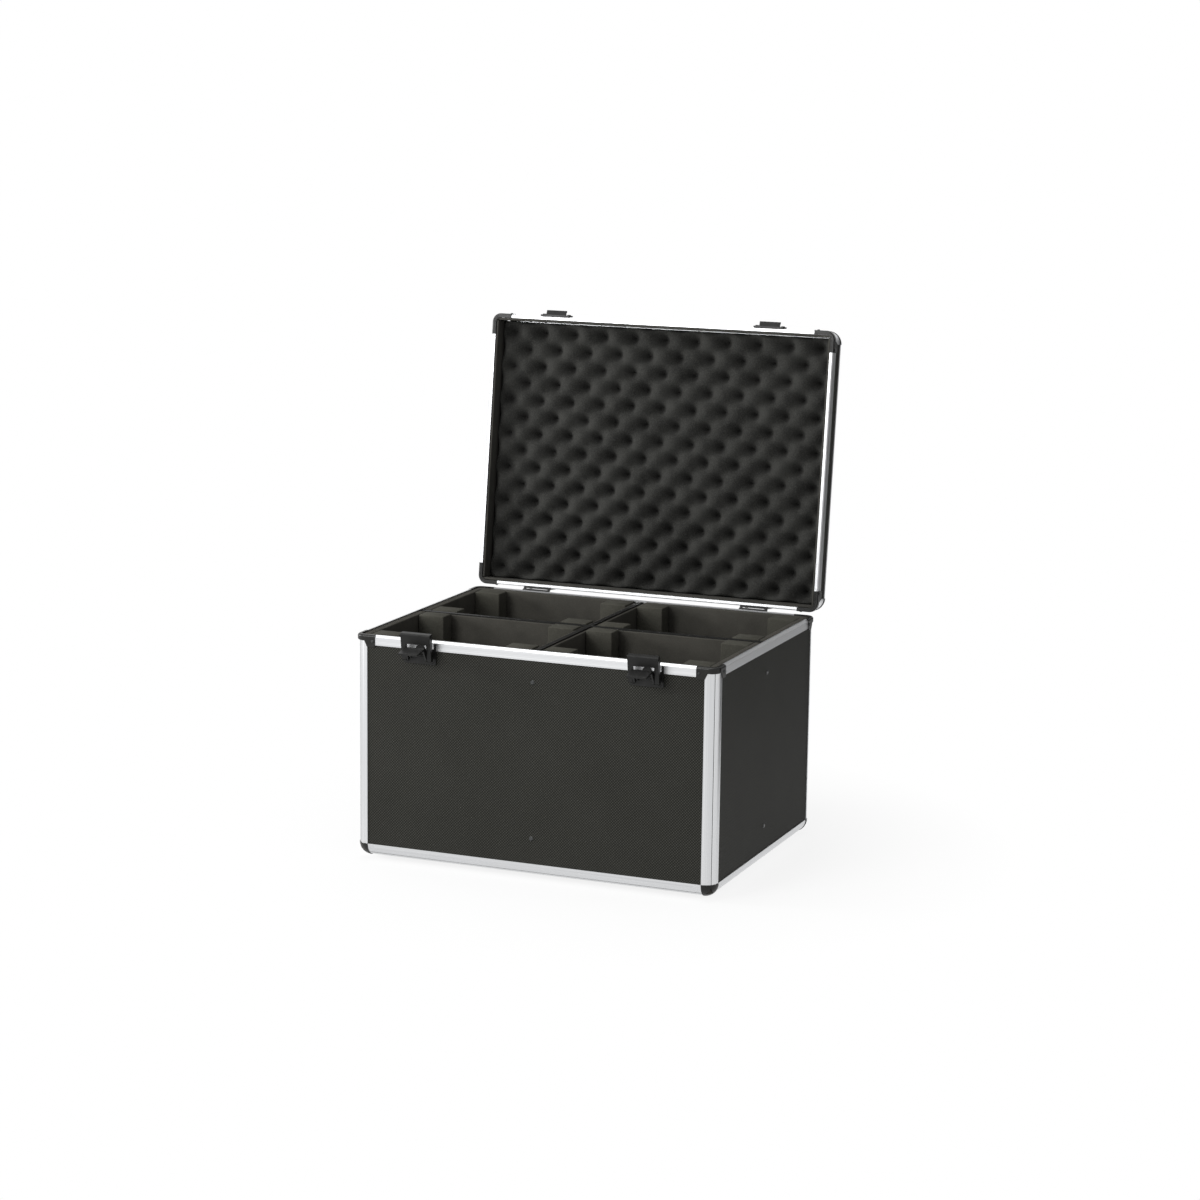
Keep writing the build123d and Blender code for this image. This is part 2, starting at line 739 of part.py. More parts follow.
def build_base():
    screw_z = rim - corner_screw_drop
    holes = corner_screw_holes(screw_z)
    divider_points = divider_screw_points()
    divider_holes = [screw_hole(p, d, divider_screw_length) for p, d in divider_points]
    feet_solids, foot_screws, foot_holes = feet()
    latch_holes = []
    latch_screws = []
    for side in (-1, 1):
        move = Pos(side * latch_x, 0, 0)
        latch_screws += [move * screw(p, d, plate_screw_length) for p, d in latch_screw_points()]
        latch_holes += [move * screw_hole(p, d, plate_screw_length) for p, d in latch_screw_points()]
    hinge_holes = []
    hinge_screws = []
    for side in (-1, 1):
        move = Pos(side * hinge_x, 0, 0)
        points = hinge_screw_points(False)
        hinge_screws += [move * screw(p, d, plate_screw_length) for p, d in points]
        hinge_holes += [move * screw_hole(p, d, plate_screw_length) for p, d in points]
    wall_cuts = holes + divider_holes + latch_holes + hinge_holes
    for name, panel in wall_panels(bottom + edge_radius - edge_tuck, rim - rim_top).items():
        add("base_" + name + "_panel", cut_all(panel, wall_cuts))
    add("base_bottom_panel", cut_all(flat_panel(bottom + panel_inset, bottom + panel_back), foot_holes))
    add("base_upright_profiles", four_corners(upright_edge(bottom + edge_radius, rim - corner_cap)))
    low_front = front_edge(bottom, 1)
    low_left = left_edge(bottom, 1)
    add("base_bottom_profiles", [low_front, mirror_y(low_front), low_left, mirror_x(low_left)])
    add("base_rim_profiles", [cut_all(bar, hinge_holes) for bar in rim_bars(rim, False)])
    cap = at_corner(Pos(0, 0, rim) * rim_corner(False))
    add("base_rim_corners", [cut_all(one, holes) for one in four_corners(cap)])
    add("base_ball_corners", four_corners(at_corner(Pos(0, 0, bottom) * ball_corner())))
    add("base_corner_screws", corner_screws(screw_z))
    add("feet", feet_solids)
    add("foot_screws", foot_screws)
    floor_z = bottom + liner_face
    add("base_wall_liner", wall_liner(floor_z, room_top, liner, divider_face + soft_gap))
    x = half_width - room_face - soft_gap
    y = half_depth - room_face - soft_gap
    add("floor_pad", box((-x, -y, floor_z), (x, y, floor_z + floor_pad)))
    long_board, cross_board, foam = dividers()
    add("divider_long", cut_all(long_board, divider_holes))
    add("divider_cross", cut_all(cross_board, divider_holes))
    add("divider_foam", foam)
    bay = foam_blocks()
    add("foam_blocks_front_left", bay)
    add("foam_blocks_front_right", [mirror_x(one) for one in bay])
    add("foam_blocks_rear_left", [mirror_y(one) for one in bay])
    add("foam_blocks_rear_right", [mirror_y(mirror_x(one)) for one in bay])
    add("divider_screws", [screw(p, d, divider_screw_length) for p, d in divider_points])
    plate = cut_all(latch_base(), [screw_hole(p, d, plate_screw_length) for p, d in latch_screw_points()])
    for name, side in (("left", -1), ("right", 1)):
        move = Pos(side * latch_x, 0, 0)
        add("latch_base_" + name, move * plate)
        add("latch_lever_" + name, move * latch_lever())
        add("latch_hook_" + name, move * latch_hook())
        add("latch_hook_pins_" + name, [move * pin for pin in latch_hook_pins()])
    shift = Pos(latch_x, 0, 0)
    add("latch_lever_pins", both_sides(shift * latch_lever_pin()))
    add("latch_screws", latch_screws)
    base_leaf, lid_leaf, pin = hinge_parts()
    leaf_holes = [screw_hole(p, d, plate_screw_length) for p, d in hinge_screw_points(False)]
    shift = Pos(hinge_x, 0, 0)
    add("hinge_base_leaves", both_sides(shift * cut_all(base_leaf, leaf_holes)))
    add("hinge_pins", both_sides(shift * pin))
    add("hinge_base_screws", hinge_screws)


def build_lid():
    screw_z = lid_low + corner_screw_drop
    holes = corner_screw_holes(screw_z)
    striker_screws = []
    striker_holes = []
    hinge_screws = []
    hinge_holes = []
    for side in (-1, 1):
        move = Pos(side * latch_x, 0, 0)
        striker_screws += [move * screw(p, d, plate_screw_length) for p, d in striker_screw_points()]
        striker_holes += [move * screw_hole(p, d, plate_screw_length) for p, d in striker_screw_points()]
        move = Pos(side * hinge_x, 0, 0)
        points = hinge_screw_points(True)
        hinge_screws += [move * screw(p, d, plate_screw_length) for p, d in points]
        hinge_holes += [move * screw_hole(p, d, plate_screw_length) for p, d in points]
    cuts = holes + striker_holes + hinge_holes
    lid = {}
    for name, panel in wall_panels(lid_low + rim_top, lid_top - edge_radius + edge_tuck).items():
        lid["lid_" + name + "_panel"] = cut_all(panel, cuts)
    handle_plates, bail, handle_pins = handle_parts()
    handle_points = handle_screw_points()
    handle_holes = [screw_hole(p, d, plate_screw_length) for p, d in handle_points]
    roof = flat_panel(lid_top - panel_back, lid_top - panel_inset)
    lid["lid_top_panel"] = cut_all(roof, handle_holes)
    upright = upright_edge(lid_low + corner_cap, lid_top - edge_radius)
    lid["lid_upright_profiles"] = four_corners(upright)
    top_front = front_edge(lid_top, -1)
    top_left = left_edge(lid_top, -1)
    lid["lid_edge_profiles"] = [top_front, mirror_y(top_front), top_left, mirror_x(top_left)]
    lid["lid_rim_profiles"] = [cut_all(bar, cuts) for bar in rim_bars(lid_low, True)]
    cap = at_corner(Pos(0, 0, lid_low) * rim_corner(True))
    lid["lid_rim_corners"] = [cut_all(one, holes) for one in four_corners(cap)]
    ball = at_corner(Pos(0, 0, lid_top) * mirror(ball_corner(), Plane.XY))
    lid["lid_ball_corners"] = four_corners(ball)
    lid["lid_corner_screws"] = corner_screws(screw_z)
    lid["lid_liner"] = wall_liner(lid_low + liner_drop, lid_top - liner_face, lid_liner, 0)
    lid["egg_crate_foam"] = egg_crate()
    plate = cut_all(striker(), [screw_hole(p, d, plate_screw_length) for p, d in striker_screw_points()])
    lid["strikers"] = both_sides(Pos(latch_x, 0, 0) * plate)
    lid["striker_screws"] = striker_screws
    leaf_holes = [screw_hole(p, d, plate_screw_length) for p, d in hinge_screw_points(True)]
    leaf = cut_all(hinge_parts()[1], leaf_holes)
    lid["hinge_lid_leaves"] = both_sides(Pos(hinge_x, 0, 0) * leaf)
    lid["hinge_lid_screws"] = hinge_screws
    lid["handle_brackets"] = [cut_all(one, handle_holes) for one in handle_plates]
    lid["handle_pins"] = handle_pins
    lid["handle_screws"] = [screw(p, d, plate_screw_length) for p, d in handle_points]
    lid["handle"] = bail
    for name, shapes in lid.items():
        shapes = shapes if isinstance(shapes, list) else [shapes]
        add(name, [open_lid(one) for one in shapes])


def y_limits():
    # How far the latches reach in front and the open lid reaches behind.
    out = math.radians(hook_lean)
    hook_front = hook_axis[0] - hook_wall * math.cos(out) - (hook_length - hook_edge) * math.sin(out)
    front = min(lever_axis[0] - lever_tip_out, hook_front)
    lean = math.radians(open_angle)
    run = hinge_y + half_depth - edge_radius
    rise = lid_top - edge_radius - hinge_z
    back = hinge_y - run * math.cos(lean) + rise * math.sin(lean) + edge_radius
    return front, back


build_base()
build_lid()
low_y, high_y = y_limits()
shift_y = -(low_y + high_y) / 2
os.makedirs("parts", exist_ok=True)
for name, solids in parts.items():
    placed = [Pos(0, shift_y, 0) * one for one in solids]
    flat = [solid for one in placed for solid in one.solids()]
    export_step(flat[0] if len(flat) == 1 else Compound(children=flat), "parts/" + name + ".step")
print("nodes", len(parts), "shift_y", round(shift_y, 3))
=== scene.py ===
import json
import math

import bpy
from mathutils import Euler, Matrix, Vector, noise


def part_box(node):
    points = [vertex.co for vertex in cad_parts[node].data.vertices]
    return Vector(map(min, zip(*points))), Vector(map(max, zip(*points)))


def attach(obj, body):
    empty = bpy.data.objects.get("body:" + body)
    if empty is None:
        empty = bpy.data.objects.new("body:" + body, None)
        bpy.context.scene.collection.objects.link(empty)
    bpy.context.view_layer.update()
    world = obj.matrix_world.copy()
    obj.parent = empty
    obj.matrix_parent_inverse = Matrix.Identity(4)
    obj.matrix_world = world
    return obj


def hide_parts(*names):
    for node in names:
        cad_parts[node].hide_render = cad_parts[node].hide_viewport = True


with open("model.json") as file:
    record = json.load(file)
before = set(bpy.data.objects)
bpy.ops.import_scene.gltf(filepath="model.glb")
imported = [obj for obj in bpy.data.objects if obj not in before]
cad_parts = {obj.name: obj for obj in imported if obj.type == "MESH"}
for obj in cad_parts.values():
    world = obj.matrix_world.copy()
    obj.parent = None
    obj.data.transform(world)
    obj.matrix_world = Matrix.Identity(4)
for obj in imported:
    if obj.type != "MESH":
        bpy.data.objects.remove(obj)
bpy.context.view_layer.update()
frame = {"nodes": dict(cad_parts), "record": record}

noise.seed_set(11)   # without it the noise starts from the clock; every run has to look the same
mm = 0.001               # metres
nodes = frame["nodes"]
joints = frame["record"]["behaviour"]["joints"]
hingeAxis = Vector(next(j for j in joints if j["name"] == "lid_hinge")["pos_m"])
openAngle = math.radians(97.0)   # the lid leans 7 degrees past upright
print("frame loaded:", len(nodes), "nodes")


def hexColour(text):
    # sRGB hex to the linear values that shaders take
    channels = [int(text[i:i + 2], 16) / 255 for i in (1, 3, 5)]
    linear = [c / 12.92 if c <= 0.04045 else ((c + 0.055) / 1.055) ** 2.4 for c in channels]
    return (*linear, 1.0)


def addNode(tree, kind, settings=None, links=None):
    # adds a node, sets its own options or sockets, and links its inputs
    node = tree.nodes.new(kind)
    for key, value in (settings or {}).items():
        if isinstance(key, str) and hasattr(node, key):
            setattr(node, key, value)
    for key, value in (settings or {}).items():
        if isinstance(key, int) or not hasattr(node, key):
            node.inputs[key].default_value = value
    for key, source in (links or {}).items():
        tree.links.new(source, node.inputs[key])
    return node


def newMaterial(name, shaderSettings):
    material = bpy.data.materials.new(name)
    material.use_nodes = True
    tree = material.node_tree
    tree.nodes.clear()
    shader = addNode(tree, "ShaderNodeBsdfPrincipled", shaderSettings)
    addNode(tree, "ShaderNodeOutputMaterial", None, {"Surface": shader.outputs["BSDF"]})
    return material, tree, shader


def objectCoords(tree, turn=0.0):
    # object coordinates in metres; turn brings the open lid's own axes level again
    coords = addNode(tree, "ShaderNodeTexCoord")
    mapping = addNode(tree, "ShaderNodeMapping", {"Rotation": (turn, 0, 0)},
                      {"Vector": coords.outputs["Object"]})
    return mapping.outputs["Vector"]


def colourRamp(tree, factor, stops):
    ramp = addNode(tree, "ShaderNodeValToRGB", None, {"Fac": factor})
    while len(ramp.color_ramp.elements) < len(stops):
        ramp.color_ramp.elements.new(0.5)
    for element, (place, colour) in zip(ramp.color_ramp.elements, stops):
        element.position = place
        element.color = hexColour(colour)
    return ramp.outputs["Color"]


def mathNode(tree, operation, *values):
    sockets = {i: v for i, v in enumerate(values) if isinstance(v, (int, float))}
    links = {i: v for i, v in enumerate(values) if not isinstance(v, (int, float))}
    return addNode(tree, "ShaderNodeMath", {"operation": operation, **sockets}, links).outputs[0]


# Black laminate: paper-based sheet pressed against a dimpled plate and glued to plywood.
# Its staggered raised dots catch the light as a fine pale speckle, which is a painted highlight:
# each dot is coloured lighter than the ground.
laminateLook = {
    "dotPitch": 4.0,         # mm; the real one is nearer 3, drawn coarser so that it shows
    "dotHeight": 0.2,        # mm
    "bump": 0.4,
    "ground": "#22221f",
    # painted highlight colour of the raised dots
    "dotHighlight": "#444440",
    "highlightStart": 0.5,         # level at which the painted highlight on the dots begins
    "cloudScale": 9.0,       # per metre
    "cloudShare": 0.2,       # how far uneven pressing shifts the colour
    "roughness": 0.5,
    "index": 1.3,
    "shine": 0.1,
}


def pressedLaminate(name, axes, turn=0.0):
    look = laminateLook
    material, tree, shader = newMaterial(name, {
        "Roughness": look["roughness"], "IOR": look["index"], "Specular IOR Level": look["shine"]})
    place = objectCoords(tree, turn)
    parts = addNode(tree, "ShaderNodeSeparateXYZ", None, {"Vector": place})
    wave = 2 * math.pi / (look["dotPitch"] * mm)
    first = mathNode(tree, "SINE", mathNode(tree, "MULTIPLY", parts.outputs[axes[0]], wave))
    second = mathNode(tree, "SINE", mathNode(tree, "MULTIPLY", parts.outputs[axes[1]], wave))
    level = mathNode(tree, "MULTIPLY_ADD", mathNode(tree, "MULTIPLY", first, second), 0.5, 0.5)
    cloud = addNode(tree, "ShaderNodeTexNoise",
                    {"Scale": look["cloudScale"], "Detail": 4.0, "Roughness": 0.6},
                    {"Vector": place})
    mixed = mathNode(tree, "MULTIPLY_ADD", cloud.outputs["Fac"], look["cloudShare"], level)
    # painted highlight: the raised dots are coloured lighter than the ground, as if they caught the
    # light
    colour = colourRamp(tree, mixed, [(look["highlightStart"], look["ground"]), (1.0, look["dotHighlight"])])
    tree.links.new(colour, shader.inputs["Base Color"])
    bump = addNode(tree, "ShaderNodeBump",
                   {"Strength": look["bump"], "Distance": look["dotHeight"] * mm},
                   {"Height": level})
    tree.links.new(bump.outputs["Normal"], shader.inputs["Normal"])
    return material


# Anodised aluminium extrusion: satin grey metal with faint die lines along each bar.
aluminiumLook = {
    "colour": "#dcddde",
    "shade": "#cbccce",
    "roughness": (0.30, 0.42),
    "grainSpread": (0.3, 0.7),    # noise levels that the colour and roughness run between
    "dieLine": 0.9,          # mm between die lines
    "alongScale": 2,         # per metre, so that the lines fade in and out along a bar
    "lineDepth": 0.05,       # mm
    "bump": 0.15,
    "sideStart": 236.0,      # mm from the middle where bars run front to back
}


def anodisedAluminium(name, turn=0.0, upright=False):
    look = aluminiumLook
    material, tree, shader = newMaterial(name, {"Metallic": 1.0})
    place = objectCoords(tree, turn)
    fine = 1 / (look["dieLine"] * mm)
    slow = look["alongScale"]
    stretches = {"alongX": (slow, fine, fine), "alongY": (fine, slow, fine),
                 "alongZ": (fine, fine, slow)}
    lines = {}
    for key, stretch in stretches.items():
        scaled = addNode(tree, "ShaderNodeMapping", {"Scale": stretch}, {"Vector": place})
        lines[key] = addNode(tree, "ShaderNodeTexNoise", {"Scale": 1.0, "Detail": 2.0},
                             {"Vector": scaled.outputs["Vector"]}).outputs["Fac"]
    if upright:
        grain = lines["alongZ"]
    else:
        parts = addNode(tree, "ShaderNodeSeparateXYZ", None, {"Vector": place})
        outward = mathNode(tree, "ABSOLUTE", parts.outputs["X"])
        onSide = mathNode(tree, "GREATER_THAN", outward, look["sideStart"] * mm)
        grain = addNode(tree, "ShaderNodeMix", {"data_type": "FLOAT"},
                        {0: onSide, 2: lines["alongX"], 3: lines["alongY"]}).outputs[0]
    start, end = look["grainSpread"]
    colour = colourRamp(tree, grain, [(start, look["shade"]), (end, look["colour"])])
    tree.links.new(colour, shader.inputs["Base Color"])
    low, high = look["roughness"]
    rough = addNode(tree, "ShaderNodeMapRange",
                    {"From Min": start, "From Max": end, "To Min": low, "To Max": high},
                    {"Value": grain})
    tree.links.new(rough.outputs["Result"], shader.inputs["Roughness"])
    bump = addNode(tree, "ShaderNodeBump",
                   {"Strength": look["bump"], "Distance": look["lineDepth"] * mm},
                   {"Height": grain})
    tree.links.new(bump.outputs["Normal"], shader.inputs["Normal"])
    return material


# Moulded plastic, steel, board and rubber share a fine grain, and handling leaves soft clouds.
handledLook = {
    "cloudScale": 60.0,      # per metre
    "colourSpread": (0.35, 0.7),
    "roughSpread": (0.3, 0.7),
    "smoother": 0.06,        # off the roughness where hands have polished
    "rougher": 0.08,
    "bump": 0.3,
}


def grainyBlack(name, low, high, roughness, grainSize, grainHeight, metallic, shine):
    # grain size and height in mm
    look = handledLook
    material, tree, shader = newMaterial(name, {"Metallic": metallic, "IOR": 1.5,
                                                "Specular IOR Level": shine})
    place = objectCoords(tree)
    cloud = addNode(tree, "ShaderNodeTexNoise",
                    {"Scale": look["cloudScale"], "Detail": 5.0, "Roughness": 0.65},
                    {"Vector": place})
    start, end = look["colourSpread"]
    colour = colourRamp(tree, cloud.outputs["Fac"], [(start, low), (end, high)])
    tree.links.new(colour, shader.inputs["Base Color"])
    start, end = look["roughSpread"]
    rough = addNode(tree, "ShaderNodeMapRange",
                    {"From Min": start, "From Max": end, "To Min": roughness - look["smoother"],
                     "To Max": roughness + look["rougher"]},
                    {"Value": cloud.outputs["Fac"]})
    tree.links.new(rough.outputs["Result"], shader.inputs["Roughness"])
    grain = addNode(tree, "ShaderNodeTexNoise", {"Scale": 1 / (grainSize * mm), "Detail": 2.0},
                    {"Vector": place})
    bump = addNode(tree, "ShaderNodeBump",
                   {"Strength": look["bump"], "Distance": grainHeight * mm},
                   {"Height": grain.outputs["Fac"]})
    tree.links.new(bump.outputs["Normal"], shader.inputs["Normal"])
    return material


# Polyurethane, polyethylene and EVA foam: matt and dark, with cut cells that catch specks of light;
# the specks are a painted highlight, the colour lighter towards each cell's edge.
# Cells are drawn larger than the real ones, which are near 0.5 mm, so that they show.
foamLook = {
    "roughness": 0.95,
    "index": 1.4,
    "shine": 0.15,
    "cloudScale": 22.0,      # per metre
    "colourSpread": (0.35, 0.95),
    "bump": 0.6,
}


def cellFoam(name, dark, light, cellSize, cellHeight, paintedGlint):
    # cell size and height in mm
    look = foamLook
    material, tree, shader = newMaterial(name, {
        "Roughness": look["roughness"], "IOR": look["index"], "Specular IOR Level": look["shine"]})
    place = objectCoords(tree)
    cloud = addNode(tree, "ShaderNodeTexNoise",
                    {"Scale": look["cloudScale"], "Detail": 5.0, "Roughness": 0.6},
                    {"Vector": place})
    cells = addNode(tree, "ShaderNodeTexVoronoi", {"Scale": 1 / (cellSize * mm), "Randomness": 1.0},
                    {"Vector": place})
    # painted highlight: the cell pattern lightens the colour as specks of caught light
    paintedSpecks = mathNode(tree, "MULTIPLY", cells.outputs["Distance"], paintedGlint)
    mixed = mathNode(tree, "ADD", cloud.outputs["Fac"], paintedSpecks)
    start, end = look["colourSpread"]
    colour = colourRamp(tree, mixed, [(start, dark), (end, light)])
    tree.links.new(colour, shader.inputs["Base Color"])
    bump = addNode(tree, "ShaderNodeBump",
                   {"Strength": look["bump"], "Distance": cellHeight * mm},
                   {"Height": cells.outputs["Distance"]})
    tree.links.new(bump.outputs["Normal"], shader.inputs["Normal"])
    return material


laminateFront = pressedLaminate("laminate_pressed_front", ("X", "Z"))
laminateSide = pressedLaminate("laminate_pressed_side", ("Y", "Z"))
laminateFlat = pressedLaminate("laminate_pressed_flat", ("X", "Y"))
laminateLidTop = pressedLaminate("laminate_pressed_lid_top", ("X", "Y"), openAngle)
laminateLidFront = pressedLaminate("laminate_pressed_lid_front", ("X", "Z"), openAngle)
laminateLidSide = pressedLaminate("laminate_pressed_lid_side", ("Y", "Z"), openAngle)
aluminiumBase = anodisedAluminium("aluminium_anodised_base")
aluminiumUpright = anodisedAluminium("aluminium_anodised_upright", 0.0, True)
aluminiumLid = anodisedAluminium("aluminium_anodised_lid", openAngle)
aluminiumLidUpright = anodisedAluminium("aluminium_anodised_lid_upright", openAngle, True)
# low and high colour, roughness, grain size, grain height, metallic, shine
mouldedPlastic = grainyBlack("abs_moulded_black", "#11110f", "#181816", 0.32, 0.8, 0.02, 0.0, 0.3)
blackSteel = grainyBlack("steel_black_painted", "#0d0d0c", "#151514", 0.34, 0.5, 0.02, 0.0, 0.3)
rubberFoot = grainyBlack("rubber_moulded_foot", "#181817", "#20201f", 0.65, 1.0, 0.05, 0.0, 0.3)
gripVinyl = grainyBlack("vinyl_moulded_grip", "#161615", "#1f1f1e", 0.5, 1.2, 0.08, 0.0, 0.4)
dividerFace = grainyBlack("hardboard_black_divider", "#0f0f0e", "#171715", 0.55, 1.5, 0.03,
                          0.0, 0.2)
darkSteel = grainyBlack("steel_dark_zinc_screw", "#3a3b3b", "#565757", 0.3, 0.5, 0.01, 1.0, 0.5)
platedSteel = grainyBlack("steel_zinc_plated", "#868788", "#a1a2a3", 0.28, 0.5, 0.01, 1.0, 0.5)
# low and high colour, cell size, cell height, share of painted highlight specks
crateFoam = cellFoam("polyurethane_open_cell", "#1b1b1a", "#363634", 1.6, 0.5, 0.55)
blockFoam = cellFoam("polyethylene_block_foam", "#3a3933", "#4a4943", 1.8, 0.3, 0.35)
linerFoam = cellFoam("eva_liner_foam", "#393834", "#4a4843", 1.4, 0.15, 0.3)
stripFoam = cellFoam("eva_lid_strip_foam", "#3a3936", "#484743", 1.4, 0.15, 0.3)
print("materials made")

nodeMaterials = {
    "base_front_panel": laminateFront, "base_rear_panel": laminateFront,
    "base_left_panel": laminateSide, "base_right_panel": laminateSide,
    "base_bottom_panel": laminateFlat, "lid_top_panel": laminateLidTop,
    "lid_front_panel": laminateLidFront, "lid_rear_panel": laminateLidFront,
    "lid_left_panel": laminateLidSide, "lid_right_panel": laminateLidSide,
    "base_upright_profiles": aluminiumUpright, "base_bottom_profiles": aluminiumBase,
    "base_rim_profiles": aluminiumBase, "lid_upright_profiles": aluminiumLidUpright,
    "lid_edge_profiles": aluminiumLid, "lid_rim_profiles": aluminiumLid,
    "base_rim_corners": mouldedPlastic, "lid_rim_corners": mouldedPlastic,
    "base_ball_corners": mouldedPlastic, "lid_ball_corners": mouldedPlastic,
    "divider_long": dividerFace, "divider_cross": dividerFace,
    "feet": rubberFoot, "handle": gripVinyl, "handle_brackets": gripVinyl,
}
platedWords = ("handle_screws", "hinge_pins", "handle_pins")
darkWords = ("corner_screws", "divider_screws")
for name, piece in nodes.items():
    # latches, hinges, strikers and their screws are black painted steel
    material = nodeMaterials.get(name, blackSteel)
    if name.endswith(platedWords):
        material = platedSteel
    if name.endswith(darkWords):
        material = darkSteel
    piece.data.materials.clear()
    piece.data.materials.append(material)
print("materials given to the frame")


def clearSelection():
    bpy.ops.object.select_all(action="DESELECT")


def pickOnly(piece):
    clearSelection()
    piece.select_set(True)
    bpy.context.view_layer.objects.active = piece


smoothAngle = math.radians(50)


def applyModifier(piece, kind, settings):
    pickOnly(piece)
    modifier = piece.modifiers.new(kind.lower(), kind)
    for key, value in settings.items():
        setattr(modifier, key, value)
    bpy.ops.object.modifier_apply(modifier=modifier.name)


def finishPiece(piece, name, material, body, nodeName):
    piece.name = name
    piece.data.name = name
    piece.data.materials.clear()
    piece.data.materials.append(material)
    pickOnly(piece)
    bpy.ops.object.shade_smooth_by_angle(angle=smoothAngle)
    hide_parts(nodeName)
    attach(piece, body)
    clearSelection()


def openWithLid(piece):
    # turns a piece drawn round the hinge axis, closed, to the open lid, and leaves it at the origin
    piece.rotation_euler = Euler((-openAngle, 0, 0))
    piece.location = hingeAxis
    pickOnly(piece)
    bpy.ops.object.transform_apply(location=True, rotation=True, scale=True)


# Foam sheets and blocks: sawn slabs with softened arrises and a slightly uneven face.
foamCut = {
    "shrink": 0.25,      # mm taken off each face, so that nothing touches
    "arris": 1.2,        # mm, or the share below of a thinner sheet
    "arrisShare": 0.3,
    "arrisSteps": 3,
    "sharpAngle": 40,    # degrees; flatter edges keep their shape
    "cornerRound": 6.5,  # mm where a sheet runs into a corner of the case
    "cornerSteps": 6,
    "unevenness": 0.22,  # mm
    "unevenScale": 35.0,  # mm
    "cell": 18.0,        # mm between cuts
    "seedDrift": (3.7, 1.3, 2.1),    # moves each slab to its own part of the noise
}


def roundUpright(slab, corners):
    # rounds the upright edges that stand at the given corners, in metres
    bpy.ops.object.mode_set(mode="EDIT")
    bpy.ops.mesh.select_mode(type="EDGE")
    bpy.ops.mesh.select_all(action="DESELECT")
    bpy.ops.object.mode_set(mode="OBJECT")
    mesh = slab.data
    nearly = 0.001 * mm
    for edge in mesh.edges:
        ends = [mesh.vertices[i].co for i in edge.vertices]
        upright = (ends[0] - ends[1]).xy.length < nearly
        edge.select = upright and any((ends[0].xy - spot).length < mm for spot in corners)
    bpy.ops.object.mode_set(mode="EDIT")
    bpy.ops.mesh.bevel(offset=foamCut["cornerRound"] * mm, segments=foamCut["cornerSteps"],
                       affect="EDGES")
    bpy.ops.mesh.select_mode(type="VERT")
    bpy.ops.object.mode_set(mode="OBJECT")


def foamSlab(low, high, seed, corners=()):
    # low and high are corners in metres
    low = Vector(low) + Vector([foamCut["shrink"] * mm] * 3)
    high = Vector(high) - Vector([foamCut["shrink"] * mm] * 3)
    size = high - low
    clearSelection()
    bpy.ops.mesh.primitive_cube_add(size=1, location=(low + high) / 2)
    slab = bpy.context.object
    slab.scale = size
    bpy.ops.object.transform_apply(location=True, rotation=True, scale=True)
    if corners:
        roundUpright(slab, corners)
    arris = min(foamCut["arris"] * mm, min(size) * foamCut["arrisShare"])
    applyModifier(slab, "BEVEL", {"width": arris, "segments": foamCut["arrisSteps"],
                                  "limit_method": "ANGLE",
                                  "angle_limit": math.radians(foamCut["sharpAngle"])})
    bpy.ops.object.mode_set(mode="EDIT")
    for axis in range(3):
        cuts = int(size[axis] / (foamCut["cell"] * mm))
        normal = [0, 0, 0]
        normal[axis] = 1
        for step in range(1, cuts):
            spot = list(low)
            spot[axis] = low[axis] + size[axis] * step / cuts
            bpy.ops.mesh.select_all(action="SELECT")
            bpy.ops.mesh.bisect(plane_co=spot, plane_no=normal)
    bpy.ops.object.mode_set(mode="OBJECT")
    drift = Vector([seed * step for step in foamCut["seedDrift"]])
    for vertex in slab.data.vertices:
        spot = vertex.co / (foamCut["unevenScale"] * mm) + drift
        vertex.co += noise.noise_vector(spot) * foamCut["unevenness"] * mm
    return slab


def joinAll(pieces):
    if len(pieces) == 1:
        return pieces[0]
    clearSelection()
    for piece in pieces:
        piece.select_set(True)
    bpy.context.view_layer.objects.active = pieces[0]
    bpy.ops.object.join()
    return bpy.context.object


# Places of the foam, in mm from the case's middle, as the frame has them
caseSize = {
    "halfWidth": 265.0,
    "halfDepth": 200.0,
    "panelInset": 1.0,
    "linerFace": 5.3,
    "liner": 11.2,
    "lidLiner": 3.5,
    "gap": 0.3,
    "floorTop": 11.3,
    "floorPad": 5.0,
    "roomTop": 318.8,
    "dividerHalf": 3.5,
    "dividerFoam": 4.7,
    "dividerFoamEnd": 0.1,   # from its end to the wall panel's lining face
    "dividerFoamTop": 316.8,
    "blockWidth": 39.5,
    "blockDepth": 27.5,
    "lidLinerLow": 321.5,
    "lidTop": 370.3,
}
c = caseSize
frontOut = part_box("base_front_panel")[0][1]     # outer face of the front panel in the frame
middleY = frontOut / mm - c["panelInset"] + c["halfDepth"]
wallX = c["halfWidth"] - c["linerFace"]
wallY = c["halfDepth"] - c["linerFace"]
roomLow = c["floorTop"] + c["floorPad"] + c["gap"]
faceIn = c["dividerHalf"] + c["gap"]
faceOut = faceIn + c["dividerFoam"]
roomX = wallX - c["liner"] - c["gap"]
roomY = wallY - c["liner"] - c["gap"]


def inCase(x, y, z):
    return Vector((x, y + middleY, z)) * mm


def inLid(x, y, z):
    # closed-lid place measured from the hinge axis
    return inCase(x, y, z) - hingeAxis


def mirrorFour(low, high):
    boxes = []
    for sideX in (1, -1):
        for sideY in (1, -1):
            xs = sorted((low[0] * sideX, high[0] * sideX))
            ys = sorted((low[1] * sideY, high[1] * sideY))
            boxes.append(((xs[0], ys[0], low[2]), (xs[1], ys[1], high[2])))
    return boxes


def slabsFrom(boxes, startSeed, place=inCase):
    # a sheet that reaches a corner of the case is rounded there
    slabs = []
    for number, (low, high) in enumerate(boxes):
        corners = [place(x, y, 0).xy for x in (low[0], high[0]) for y in (low[1], high[1])
                   if abs(x) == wallX and abs(y) == wallY]
        slabs.append(foamSlab(place(*low), place(*high), startSeed + number, corners))
    return slabs


